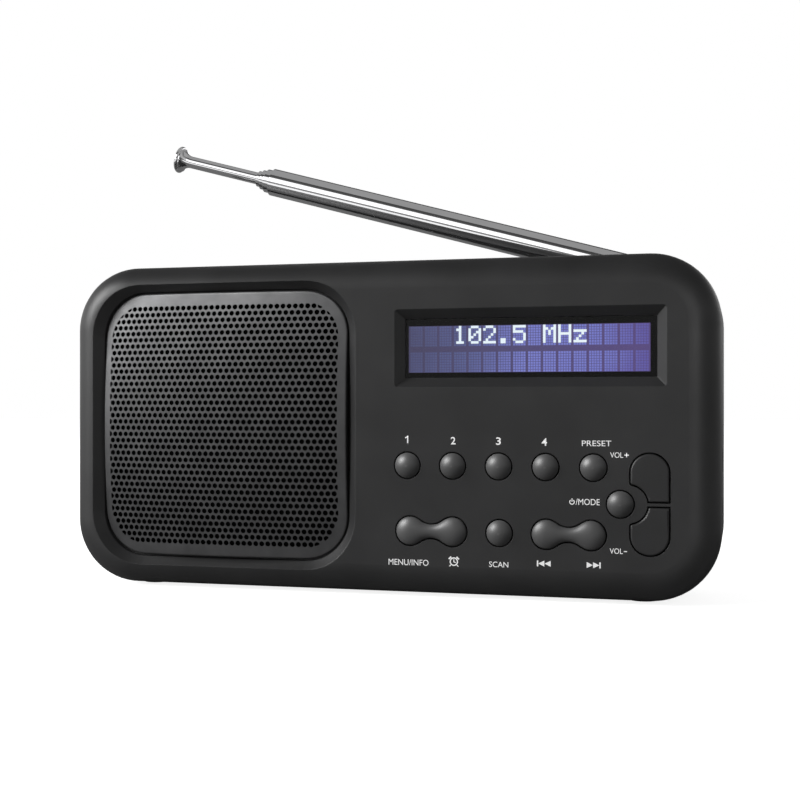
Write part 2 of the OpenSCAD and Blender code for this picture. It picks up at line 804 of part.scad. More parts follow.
// Tube along the mast from distance s0 to distance s1
module mast_tube(s0, s1, r_out, r_in) {
    translate([-s1, 0, 0]) rotate([0, 90, 0]) difference() {
        cylinder(h = s1 - s0, r = r_out);
        translate([0, 0, -1]) cylinder(h = s1 - s0 + 2, r = r_in);
    }
}

module antenna_swivel() {
    base = channel_d + 0.2 - pivot_d;
    color([0.75, 0.75, 0.77]) antenna_frame() difference() {
        union() {
            translate([0, base + 0.7, 0]) rotate([90, 0, 0]) cylinder(h = 0.7, r = 4.2);
            translate([0, base, 0]) rotate([90, 0, 0]) cylinder(h = 4.1, r = stem_r);
            for (side = [-1, 1]) translate([0, 0, side * (ear_in + ear_out) / 2]) {
                cylinder(h = ear_out - ear_in, r = ear_r, center = true);
                translate([-ear_r, base + 0.3, (ear_in - ear_out) / 2])
                    cube([2 * ear_r, -base - 0.3, ear_out - ear_in]);
            }
        }
        cylinder(h = 10, r = 1.02, center = true);
        translate([0, base, 0]) rotate([90, 0, 0]) translate([0, 0, 1]) cylinder(h = 5, r = 0.95);
    }
}

module antenna_pin() {
    color([0.8, 0.8, 0.8]) antenna_frame() cylinder(h = 2 * ear_out + 0.2, r = 1, center = true);
}

module antenna_screw() {
    color([0.6, 0.6, 0.62]) antenna_frame() translate([0, channel_d - 4.5 - pivot_d, 0]) {
        rotate([-90, 0, 0]) cylinder(h = 3.2, r = 0.9);
        difference() {
            rotate([90, 0, 0]) cylinder(h = 1.4, r = 2.1);
            translate([-1.4, -2, -0.25]) cube([2.8, 1.2, 0.5]);
        }
    }
}

module antenna_washer() {
    color([0.7, 0.7, 0.7]) antenna_frame() translate([0, channel_d - 4.5 - pivot_d, 0]) rotate([-90, 0, 0])
        difference() {
            cylinder(h = 0.4, r = 2.2);
            translate([0, 0, -1]) cylinder(h = 2, r = 0.95);
        }
}

module antenna_tongue() {
    color([0.8, 0.8, 0.82]) antenna_frame() difference() {
        union() {
            cylinder(h = 3, r = 2.6, center = true);
            translate([-plug_x - 0.5, -2.6, -1.5]) cube([plug_x + 0.5, 5.2, 3]);
            mast_plug(plug_x, plug_x + 1, mast_r);
            mast_plug(plug_x, plug_x + 4, mast_r - mast_wall - 0.02);
        }
        cylinder(h = 10, r = 1.05, center = true);
    }
}

module mast_plug(s0, s1, r) {
    translate([-s1, 0, 0]) rotate([0, 90, 0]) cylinder(h = s1 - s0, r = r);
}

// Section i of the mast, counted from 0 at the thickest
module antenna_section(i) {
    r = mast_r - i * mast_step;
    s0 = i == 0 ? plug_x + 1 : plug_x + 4 + 0.5 * i;
    color([0.85, 0.85, 0.87]) antenna_frame() mast_tube(s0, mast_len + reveal[i], r, r - mast_wall);
}

module antenna_section_1() { antenna_section(0); }
module antenna_section_2() { antenna_section(1); }
module antenna_section_3() { antenna_section(2); }
module antenna_section_4() { antenna_section(3); }

module antenna_rod() {
    color([0.85, 0.85, 0.87]) antenna_frame() mast_plug(plug_x + 6, rod_end - tip_flare, rod_r);
}

// Trumpet-shaped cap that is wider than the mast, so that a finger can pull the sections out
module antenna_tip() {
    rim = 1;
    edge = 0.5;
    color([0.85, 0.85, 0.87]) antenna_frame() translate([-rod_end, 0, 0]) rotate([0, -90, 0])
        rotate_extrude() {
            square([mast_r - edge, rim]);
            translate([mast_r - edge, edge]) intersection() {
                circle(edge);
                translate([0, -edge]) square(2 * edge);
            }
            difference() {
                translate([0, -tip_flare]) square([mast_r - edge, tip_flare]);
                translate([mast_r + 0.8, -tip_flare]) circle(tip_flare);
            }
        }
}

front_housing();
rear_housing();
rubber_feet();
case_screws();
speaker_grille();
grille_cloth();
speaker_gasket();
speaker_frame();
speaker_surround();
speaker_cone();
speaker_dust_cap();
speaker_spider();
speaker_voice_coil();
speaker_top_plate();
speaker_magnet();
speaker_yoke();
speaker_screws();
lcd_window();
lcd_frame();
lcd_panel();
lcd_backlight();
key_1();
key_2();
key_3();
key_4();
preset_key();
scan_key();
mode_key();
menu_rocker();
skip_rocker();
volume_up_key();
volume_down_key();
main_board();
board_screws();
tact_switches();
tuner_module();
main_chip();
filter_capacitors();
headphone_jack();
usb_socket();
battery_door();
battery_cell(1);  // battery_cell_1
battery_cell(2);  // battery_cell_2
battery_cell(3);  // battery_cell_3
battery_cell(4);  // battery_cell_4
battery_contacts();
battery_springs();
antenna_swivel();
antenna_pin();
antenna_screw();
antenna_washer();
antenna_tongue();
antenna_section_1();
antenna_section_2();
antenna_section_3();
antenna_section_4();
antenna_rod();
antenna_tip();
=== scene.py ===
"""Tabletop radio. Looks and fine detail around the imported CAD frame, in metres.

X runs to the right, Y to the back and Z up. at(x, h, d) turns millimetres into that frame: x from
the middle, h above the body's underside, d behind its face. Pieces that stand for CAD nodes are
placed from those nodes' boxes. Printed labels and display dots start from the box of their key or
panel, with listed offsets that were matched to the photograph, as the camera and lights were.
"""
import math

import bmesh
import bpy
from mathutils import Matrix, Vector
from mathutils.geometry import delaunay_2d_cdt


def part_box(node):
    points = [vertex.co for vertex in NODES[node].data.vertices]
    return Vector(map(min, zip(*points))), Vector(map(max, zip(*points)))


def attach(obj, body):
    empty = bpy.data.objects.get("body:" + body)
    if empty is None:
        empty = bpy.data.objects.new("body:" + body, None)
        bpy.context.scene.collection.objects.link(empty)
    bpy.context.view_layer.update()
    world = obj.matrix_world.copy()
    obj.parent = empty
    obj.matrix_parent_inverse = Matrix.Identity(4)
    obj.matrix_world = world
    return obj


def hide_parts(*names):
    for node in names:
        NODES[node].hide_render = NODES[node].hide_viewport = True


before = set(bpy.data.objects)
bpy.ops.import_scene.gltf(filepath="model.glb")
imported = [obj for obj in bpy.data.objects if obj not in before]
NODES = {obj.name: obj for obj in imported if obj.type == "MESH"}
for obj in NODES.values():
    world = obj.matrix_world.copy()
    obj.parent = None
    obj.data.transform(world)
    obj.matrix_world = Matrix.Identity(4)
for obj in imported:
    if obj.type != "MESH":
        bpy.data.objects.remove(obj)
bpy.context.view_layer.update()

MM = 0.001
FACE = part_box("front_housing")[0].y
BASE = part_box("front_housing")[0].z
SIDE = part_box("front_housing")[1].x


def at(x, h, d):
    return Vector((x * MM, FACE + d * MM, BASE + h * MM))


def add_object(name, data):
    made = bpy.data.objects.new(name, data)
    bpy.context.scene.collection.objects.link(made)
    return made


# ---------- Camera, lights and floor ----------

lens = bpy.data.cameras.new("camera")
lens.lens = 57.7
lens.sensor_width = 36
lens.shift_y = 0.00375
lens.clip_start = 0.01
camera = add_object("camera", lens)
camera.location = (SIDE + 4.67 * MM, FACE - 291.6 * MM, BASE + 45.33 * MM)
camera.rotation_euler = (math.radians(90), 0, math.radians(15))
bpy.context.scene.camera = camera
bpy.context.scene.view_settings.view_transform = "Standard"


def area_light(name, place, target, width, height, watts):
    data = bpy.data.lights.new(name, "AREA")
    data.shape = "RECTANGLE"
    data.size = width
    data.size_y = height
    data.energy = watts
    light = add_object(name, data)
    light.location = place
    light.rotation_euler = (Vector(target) - Vector(place)).to_track_quat("-Z", "Y").to_euler()
    light.visible_camera = False
    return light


area_light("key_light", (-1.45, -0.85, 0.78), (-0.02, 0, 0.05), 0.85, 0.85, 27)
area_light("back_rim", (0.1, 1.1, 0.35), (0, 0, 0.06), 1.6, 0.25, 1.5)
back_fill = area_light("back_fill", (0.75, 1.0, 0.7), (0, 0, 0.04), 0.7, 0.7, 14)

# back_fill and the lights below shine only on the pieces that light_only() gives them
dome_light = area_light("dome_light", (-1.15, -0.95, 1.0), (-0.02, 0, 0.05), 0.7, 0.7, 29)
grille_light = area_light("grille_light", (-0.62, -1.1, 1.05), (-0.04, 0, 0.05), 0.7, 0.7, 18)
right_fill = area_light("right_fill", (0.6, -1.35, 0.06), (0.03, 0, 0.05), 0.8, 0.8, 3.2)
band = area_light("antenna_band", (-0.35, -1.15, 0.52), (-0.02, 0, 0.06), 1.7, 0.7, 4.2)
card = area_light("antenna_card", (-0.1, -0.36, 0.012), (-0.1, -0.36, 1), 0.9, 0.34, 0.85)
roof = area_light("antenna_roof", (-0.1, 0.1, 1.0), (-0.1, 0.1, 0), 2.4, 1.2, 2.4)


def light_only(light, pieces):
    """Keep one light to the listed pieces."""
    group = bpy.data.collections.new(light.name + "_group")
    for piece in pieces:
        group.objects.link(piece)
    light.light_linking.receiver_collection = group


antenna_nodes = [node for name, node in NODES.items() if name.startswith("antenna")]
for light in (band, card, roof):
    light_only(light, antenna_nodes)
light_only(right_fill, [NODES["front_housing"]])

world = bpy.data.worlds.new("studio")
world.use_nodes = True
bpy.context.scene.world = world
sky = world.node_tree
sky.nodes.clear()


def sky_node(kind, **values):
    made = sky.nodes.new("ShaderNode" + kind)
    for key, value in values.items():
        setattr(made, key, value)
    return made


def sky_fade(axis, stops):
    """Grey level that changes with one axis of the direction, in stops of (value from -1 to 1, grey)."""
    span = sky_node("MapRange")
    span.inputs["From Min"].default_value = -1
    sky.links.new(sky_split.outputs[axis], span.inputs["Value"])
    fade = sky_node("ValToRGB")
    points = fade.color_ramp.elements
    while len(points) < len(stops):
        points.new(0.5)
    for point, (value, grey) in zip(points, stops):
        point.position = (value + 1) / 2
        point.color = (grey, grey, grey, 1)
    sky.links.new(span.outputs[0], fade.inputs[0])
    return fade.outputs[0]


# Greys of the room from below to above and from left to right, which multiply. The camera sees white.
UP_DOWN = [(-0.2, 0.22), (0.02, 0.26), (0.16, 0.36), (0.4, 0.19), (0.7, 0.06), (1, 0.05)]
LEFT_RIGHT = [(-1, 3), (-0.6, 1.6), (0.1, 1.02), (0.5, 2.2), (0.85, 1.4), (1, 1.3)]

sky_out = sky_node("OutputWorld")
sky_mix = sky_node("MixShader")
sky_path = sky_node("LightPath")
sky_room = sky_node("Background")
sky_white = sky_node("Background")
sky_white.inputs["Color"].default_value = (1, 1, 1, 1)
sky_where = sky_node("TexCoord")
sky_split = sky_node("SeparateXYZ")
sky.links.new(sky_where.outputs["Generated"], sky_split.inputs[0])
sky_product = sky_node("Mix", data_type="RGBA", blend_type="MULTIPLY")
sky_product.inputs["Factor"].default_value = 1
sky.links.new(sky_fade("Z", UP_DOWN), sky_product.inputs["A"])
sky.links.new(sky_fade("X", LEFT_RIGHT), sky_product.inputs["B"])
sky.links.new(sky_product.outputs["Result"], sky_room.inputs["Color"])
sky.links.new(sky_path.outputs["Is Camera Ray"], sky_mix.inputs[0])
sky.links.new(sky_room.outputs[0], sky_mix.inputs[1])
sky.links.new(sky_white.outputs[0], sky_mix.inputs[2])
sky.links.new(sky_mix.outputs[0], sky_out.inputs[0])

# ---------- Materials ----------


class Shader:
    """One Principled material whose patterns follow the object's own coordinates, in millimetres."""

    def __init__(self, name, color, rough, **sockets):
        self.material = bpy.data.materials.new(name)
        self.material.use_nodes = True
        self.tree = self.material.node_tree
        self.bsdf = self.tree.nodes["Principled BSDF"]
        self.bsdf.inputs["Base Color"].default_value = (*color, 1)
        self.bsdf.inputs["Roughness"].default_value = rough
        for socket, value in sockets.items():
            self.bsdf.inputs[socket.replace("_", " ")].default_value = value
        self.color = color
        self.rough = rough
        self.where = None
        self.normal = None

    def add(self, kind, **values):
        made = self.tree.nodes.new("ShaderNode" + kind)
        for key, value in values.items():
            setattr(made, key, value)
        return made

    def link(self, out, into):
        self.tree.links.new(out, into)

    def place(self):
        if self.where is None:
            source = self.add("TexCoord")
            scale = self.add("Mapping")
            scale.inputs["Scale"].default_value = (1 / MM, 1 / MM, 1 / MM)
            self.link(source.outputs["Object"], scale.inputs["Vector"])
            self.where = scale.outputs[0]
        return self.where

    def noise(self, scale, detail=2, stretch=None):
        made = self.add("TexNoise")
        made.inputs["Scale"].default_value = scale
        made.inputs["Detail"].default_value = detail
        where = self.place()
        if stretch:
            pull = self.add("Mapping")
            pull.inputs["Scale"].default_value = stretch
            self.link(where, pull.inputs["Vector"])
            where = pull.outputs[0]
        self.link(where, made.inputs["Vector"])
        return made.outputs["Fac"]

    def tint(self, scale, low, high, detail=3, stretch=None):
        """Colour that drifts between two shades."""
        blend = self.add("ValToRGB")
        blend.color_ramp.elements[0].position = 0.35
        blend.color_ramp.elements[1].position = 0.65
        blend.color_ramp.elements[0].color = (*low, 1)
        blend.color_ramp.elements[1].color = (*high, 1)
        self.link(self.noise(scale, detail, stretch), blend.inputs[0])
        self.link(blend.outputs[0], self.bsdf.inputs["Base Color"])
        return self

    def gloss(self, scale, spread, detail=3, stretch=None):
        """Roughness that varies by spread each way."""
        span = self.add("MapRange")
        span.inputs["From Min"].default_value = 0.3
        span.inputs["From Max"].default_value = 0.7
        span.inputs["To Min"].default_value = max(0.0, self.rough - spread)
        span.inputs["To Max"].default_value = min(1.0, self.rough + spread)
        self.link(self.noise(scale, detail, stretch), span.inputs["Value"])
        self.link(span.outputs[0], self.bsdf.inputs["Roughness"])
        return self

    def grain(self, scale, height, detail=2, stretch=None, source=None):
        """Fine relief of the given height in millimetres."""
        bump = self.add("Bump")
        bump.inputs["Strength"].default_value = 1
        bump.inputs["Distance"].default_value = height * MM
        self.link(source or self.noise(scale, detail, stretch), bump.inputs["Height"])
        if self.normal:
            self.link(self.normal, bump.inputs["Normal"])
        self.normal = bump.outputs[0]
        self.link(self.normal, self.bsdf.inputs["Normal"])
        return self

    def soften(self, radius):
        """Moulded or rolled edges that catch the light."""
        edge = self.add("Bevel", samples=6)
        edge.inputs["Radius"].default_value = radius * MM
        self.normal = edge.outputs[0]
        return self


def moulded(name, color, rough, fine=9, relief=0.004, edge=0.18, **sockets):
    made = Shader(name, color, rough, **sockets)
    dark = tuple(c * 0.88 for c in color)
    light = tuple(c * 1.12 for c in color)
    made.soften(edge).tint(0.06, dark, light).gloss(0.09, 0.035).grain(fine, relief)
    return made


def metal(name, color, rough, relief=0.001, stretch=None, edge=0.06, spread=0.03):
    made = Shader(name, color, rough, Metallic=1.0)
    light = tuple(min(1, c * 1.06) for c in color)
    made.soften(edge).tint(0.3, color, light, stretch=stretch)
    made.gloss(0.6, spread, stretch=stretch).grain(6, relief, stretch=stretch)
    return made


case = moulded("case_plastic", (0.0285, 0.0285, 0.029), 0.42, edge=0.28)
rear_case = moulded("rear_case_plastic", (0.016, 0.016, 0.0165), 0.46, fine=5, relief=0.012)
key_gloss = moulded("key_plastic", (0.056, 0.056, 0.0565), 0.42, relief=0.0008, edge=0.1)
volume_plastic = moulded("volume_key_plastic", (0.036, 0.036, 0.0365), 0.4, relief=0.002, edge=0.15)
rubber = moulded("foot_rubber", (0.01, 0.01, 0.01), 0.75, fine=3, relief=0.02)
frame_black = moulded("lcd_frame_plastic", (0.006, 0.006, 0.0065), 0.22, relief=0.001, edge=0.1)
grille_paint = Shader("grille_paint", (0.09, 0.09, 0.092), 0.42, Metallic=0.65)
grille_paint.tint(0.15, (0.08, 0.08, 0.082), (0.1, 0.1, 0.102)).gloss(0.4, 0.05).grain(14, 0.003)
steel = metal("screw_steel", (0.45, 0.45, 0.46), 0.28)
dark_steel = metal("basket_steel", (0.2, 0.2, 0.21), 0.4, relief=0.004)
yoke = metal("yoke_steel", (0.5, 0.5, 0.5), 0.35)
nickel = metal("contact_nickel", (0.62, 0.6, 0.55), 0.22)
shield = metal("shield_can", (0.56, 0.57, 0.58), 0.3, stretch=(0.1, 1, 1))
switch_steel = metal("switch_steel", (0.5, 0.5, 0.52), 0.32)
copper = metal("coil_copper", (0.72, 0.32, 0.14), 0.3, stretch=(0.2, 8, 0.2))
chrome = Shader("antenna_chrome", (0.88, 0.88, 0.89), 0.05, Metallic=1.0)
chrome.soften(0.08).tint(0.2, (0.84, 0.84, 0.85), (0.9, 0.9, 0.91), stretch=(0.2, 1, 1))
chrome.gloss(0.5, 0.025, stretch=(0.15, 2, 2)).grain(3, 0.0003, stretch=(0.1, 3, 3))
ferrite = moulded("ferrite", (0.03, 0.03, 0.032), 0.62, fine=2, relief=0.03)
foam = moulded("gasket_foam", (0.012, 0.012, 0.012), 0.95, fine=2.5, relief=0.12)
surround = moulded("surround_rubber", (0.01, 0.01, 0.01), 0.5, fine=3, relief=0.008)
cone = Shader("cone_paper", (0.022, 0.021, 0.02), 0.85)
cone.tint(0.5, (0.016, 0.015, 0.014), (0.03, 0.028, 0.026)).grain(1.5, 0.05, detail=6)
spider = Shader("spider_cloth", (0.48, 0.3, 0.1), 0.8, Sheen_Weight=0.2)
spider.tint(2, (0.4, 0.24, 0.07), (0.55, 0.36, 0.14)).grain(3, 0.08)
board = Shader("board_green", (0.012, 0.09, 0.035), 0.3, Coat_Weight=0.3)
board.tint(0.35, (0.008, 0.07, 0.028), (0.016, 0.11, 0.045)).grain(0.5, 0.03, stretch=(1, 1, 3))
chip = moulded("chip_epoxy", (0.012, 0.012, 0.013), 0.55, fine=4, relief=0.01)
window = Shader("window_clear", (1, 1, 1), 0.0, Transmission_Weight=1.0, IOR=1.45)
window.tint(0.02, (0.97, 0.97, 0.98), (1, 1, 1))
backlight = Shader("backlight_diffuser", (0.85, 0.86, 0.95), 0.5)
backlight.tint(0.1, (0.8, 0.82, 0.95), (0.9, 0.9, 0.98)).grain(2, 0.02)
# White print ink with a painted glow: an emission of 0.3 keeps the labels bright whatever light falls on
# them
glowing_ink = Shader("label_ink_painted_glow", (0.86, 0.86, 0.86), 0.55, Emission_Color=(1, 1, 1, 1), Emission_Strength=0.3)
glowing_ink.tint(1.2, (0.8, 0.8, 0.8), (0.9, 0.9, 0.9)).grain(8, 0.002)
sleeve = Shader("capacitor_sleeve", (0.02, 0.03, 0.12), 0.25, Coat_Weight=0.5)
sleeve.tint(0.6, (0.015, 0.02, 0.1), (0.025, 0.04, 0.14)).grain(2, 0.01)
cloth = Shader("grille_cloth", (0.002, 0.002, 0.002), 1.0, Specular_IOR_Level=0.1)
cloth.tint(1.5, (0.001, 0.001, 0.001), (0.003, 0.003, 0.003))
floor_paint = Shader("floor_paper", (0.9, 0.9, 0.9), 0.9)
floor_paint.tint(0.01, (0.88, 0.88, 0.88), (0.92, 0.92, 0.92)).grain(1.5, 0.02)
floor_paint.bsdf.inputs["Emission Color"].default_value = (1, 1, 1, 1)
floor_paint.bsdf.inputs["Emission Strength"].default_value = 0.85
floor_seen = floor_paint.add("LightPath")
floor_dim = floor_paint.add("BsdfDiffuse")
floor_dim.inputs["Color"].default_value = (0.28, 0.28, 0.28, 1)
floor_mix = floor_paint.add("MixShader")
floor_paint.link(floor_seen.outputs["Is Camera Ray"], floor_mix.inputs[0])
floor_paint.link(floor_dim.outputs[0], floor_mix.inputs[1])
floor_paint.link(floor_paint.bsdf.outputs[0], floor_mix.inputs[2])
# Seen from below, the floor is clear, so that the object's lower side can be looked at
floor_side = floor_paint.add("NewGeometry")
floor_clear = floor_paint.add("BsdfTransparent")
floor_whole = floor_paint.add("MixShader")
floor_paint.link(floor_side.outputs["Backfacing"], floor_whole.inputs[0])
floor_paint.link(floor_mix.outputs[0], floor_whole.inputs[1])
floor_paint.link(floor_clear.outputs[0], floor_whole.inputs[2])
floor_paint.link(floor_whole.outputs[0], floor_paint.tree.nodes["Material Output"].inputs["Surface"])


def weave(made, pitch, height):
    """Over-and-under threads."""
    split = made.add("SeparateXYZ")
    made.link(made.place(), split.inputs[0])
    waves = []
    for axis in ("X", "Z"):
        wave = made.add("Math", operation="SINE")
        turn = made.add("Math", operation="MULTIPLY")
        turn.inputs[1].default_value = 2 * math.pi / pitch
        made.link(split.outputs[axis], turn.inputs[0])
        made.link(turn.outputs[0], wave.inputs[0])
        waves.append(wave)
    cross = made.add("Math", operation="MULTIPLY")
    made.link(waves[0].outputs[0], cross.inputs[0])
    made.link(waves[1].outputs[0], cross.inputs[1])
    made.grain(0, height, source=cross.outputs[0])


weave(cloth, 0.5, 0.08)


def glowing(name, stops):
    """Lit display colour that changes along X, in stops of (x in mm, colour)."""
    made = Shader(name, (0.01, 0.01, 0.015), 0.4)
    split = made.add("SeparateXYZ")
    made.link(made.place(), split.inputs[0])
    x0, x1 = stops[0][0], stops[-1][0]
    span = made.add("MapRange")
    span.inputs["From Min"].default_value = x0
    span.inputs["From Max"].default_value = x1
    drift = made.add("Math", operation="MULTIPLY_ADD")
    drift.inputs[1].default_value = 9
    made.link(made.noise(0.16, 3), drift.inputs[0])
    made.link(split.outputs["X"], drift.inputs[2])
    made.link(drift.outputs[0], span.inputs["Value"])
    blend = made.add("ValToRGB")
    points = blend.color_ramp.elements
    while len(points) < len(stops):
        points.new(0.5)
    for i, (x, color) in enumerate(stops):
        points[i].position = (x - x0) / (x1 - x0)
        points[i].color = (*color, 1)
    made.link(span.outputs[0], blend.inputs[0])
    made.link(blend.outputs[0], made.bsdf.inputs["Emission Color"])
    made.bsdf.inputs["Emission Strength"].default_value = 1
    made.bsdf.inputs["Specular IOR Level"].default_value = 0.1
    return made


lcd_field = glowing("lcd_field", [(8, (0.05, 0.045, 0.1)), (40, (0.075, 0.062, 0.17)),
                                  (66, (0.09, 0.06, 0.2))])
lcd_cell = glowing("lcd_cell", [(8, (0.06, 0.065, 0.15)), (26, (0.09, 0.11, 0.28)),
                                (40, (0.19, 0.215, 0.62)), (58, (0.17, 0.19, 0.58)),
                                (68, (0.11, 0.095, 0.38))])
lcd_lit = glowing("lcd_lit", [(10, (0.8, 0.92, 1)), (60, (0.85, 0.95, 1))])


def cell_jacket(name, base, top):
    """Battery jacket, dark from the flat end at x = base and gold towards the button at x = top."""
    made = Shader(name, (0.6, 0.4, 0.08), 0.25, Coat_Weight=0.4)
    split = made.add("SeparateXYZ")
    made.link(made.place(), split.inputs[0])
    stripes = made.add("ValToRGB")
    stripes.color_ramp.interpolation = "CONSTANT"
    stripes.color_ramp.elements[0].color = (0.02, 0.02, 0.022, 1)
    stripes.color_ramp.elements[1].position = 0.7
    stripes.color_ramp.elements[1].color = (0.55, 0.3, 0.05, 1)
    along = made.add("MapRange")
    along.inputs["From Min"].default_value = base
    along.inputs["From Max"].default_value = top
    made.link(split.outputs["X"], along.inputs["Value"])
    made.link(along.outputs[0], stripes.inputs[0])
    made.link(stripes.outputs[0], made.bsdf.inputs["Base Color"])
    return made.gloss(0.3, 0.05).grain(1, 0.01)


cell_ends = [corner.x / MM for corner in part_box("battery_cell_1")]
jacket = cell_jacket("cell_jacket", *cell_ends)
jacket_turned = cell_jacket("cell_jacket_turned", *reversed(cell_ends))

FINISH = {
    "case_black": case, "foot_rubber": rubber, "screw_steel": steel, "grille_metal": grille_paint,
    "grille_cloth": cloth, "gasket_foam": foam, "basket_metal": dark_steel,
    "surround_rubber": surround, "cone_paper": cone, "spider_cloth": spider, "coil_copper": copper,
    "yoke_steel": yoke, "ferrite": ferrite, "window_clear": window, "lcd_frame_black": frame_black,
    "lcd_glass": lcd_field, "backlight": backlight, "key_gloss": key_gloss,
    "volume_key_plastic": volume_plastic, "board_green": board, "switch_metal": switch_steel,
    "shield_can": shield, "chip_black": chip, "capacitor_sleeve": sleeve, "cell_jacket": jacket,
    "contact_nickel": nickel, "antenna_chrome": chrome,
}
OWN_FINISH = {
    "rear_housing": rear_case, "battery_door": rear_case,
    "battery_cell_2": jacket_turned, "battery_cell_4": jacket_turned,
}
for name, node in NODES.items():
    for slot in node.material_slots:
        slot.material = OWN_FINISH.get(name, FINISH[slot.material.name.split(".")[0]]).material


def add_piece(name, verts, faces, finish, body, sharp=40):
    mesh = bpy.data.meshes.new(name)
    mesh.from_pydata([tuple(v) for v in verts], [], faces)
    mesh.validate()
    mesh.materials.append(finish.material)
    mesh.shade_smooth()
    mesh.set_sharp_from_angle(angle=math.radians(sharp))
    made = add_object(name, mesh)
    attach(made, body)
    return made


# ---------- Floor ----------

grid = 24
reach = 3.0
floor_drop = 0.05 * MM
floor_mesh = bpy.data.meshes.new("floor")
floor_verts = [((i / grid - 0.5) * 2 * reach, (j / grid - 0.5) * 2 * reach, -floor_drop)
               for j in range(grid + 1) for i in range(grid + 1)]
floor_faces = [(j * (grid + 1) + i, j * (grid + 1) + i + 1, (j + 1) * (grid + 1) + i + 1,
                (j + 1) * (grid + 1) + i) for j in range(grid) for i in range(grid)]
floor_mesh.from_pydata(floor_verts, [], floor_faces)
floor_mesh.materials.append(floor_paint.material)
floor = add_object("floor", floor_mesh)

# ---------- Outlines ----------


def rounded_outline(x0, x1, h0, h1, r, step):
    """Points and outward directions of a rounded rectangle, counter-clockwise seen from the front."""
    points = []
    corners = [(x1 - r, h0 + r, 270), (x1 - r, h1 - r, 0), (x0 + r, h1 - r, 90), (x0 + r, h0 + r, 180)]
    turns = max(4, round(r * math.pi / 2 / step))
    for cx, ch, start in corners:
        for i in range(turns + 1):
            a = math.radians(start + 90 * i / turns)
            points.append((Vector((cx + r * math.cos(a), ch + r * math.sin(a))),
                           Vector((math.cos(a), math.sin(a)))))
    full = []
    for i, (p, n) in enumerate(points):
        full.append((p, n))
        q = points[(i + 1) % len(points)][0]
        gap = (q - p).length
        if gap > 2 * step:
            parts = round(gap / step)
            full += [(p.lerp(q, j / parts), n) for j in range(1, parts)]
    return full


def clipped(polygon, border):
    """The part of a convex polygon inside a convex counter-clockwise border."""
    result = polygon
    for i, a in enumerate(border):
        b = border[(i + 1) % len(border)]
        edge = b - a

        def side(p):
            return edge.x * (p.y - a.y) - edge.y * (p.x - a.x)

        kept = []
        for j, p in enumerate(result):
            q = result[(j + 1) % len(result)]
            sp, sq = side(p), side(q)
            if sp >= 0:
                kept.append(p)
            if (sp > 0 > sq) or (sp < 0 < sq):
                kept.append(p.lerp(q, sp / (sp - sq)))
        result = kept
        if len(result) < 3:
            return []
    return result


def area_of(polygon):
    return sum(a.x * b.y - a.y * b.x for a, b in zip(polygon, polygon[1:] + polygon[:1])) / 2


# ---------- Perforated grille ----------

HOLE_R = 0.64
COLUMN = 1.53
ROW = 1.56
ROLL = 0.5
PLATE = 0.25
DOME = 190.0
ROWS = 38
COLUMNS = 21
CORNER = 10.7
SLIVER = 1e-4


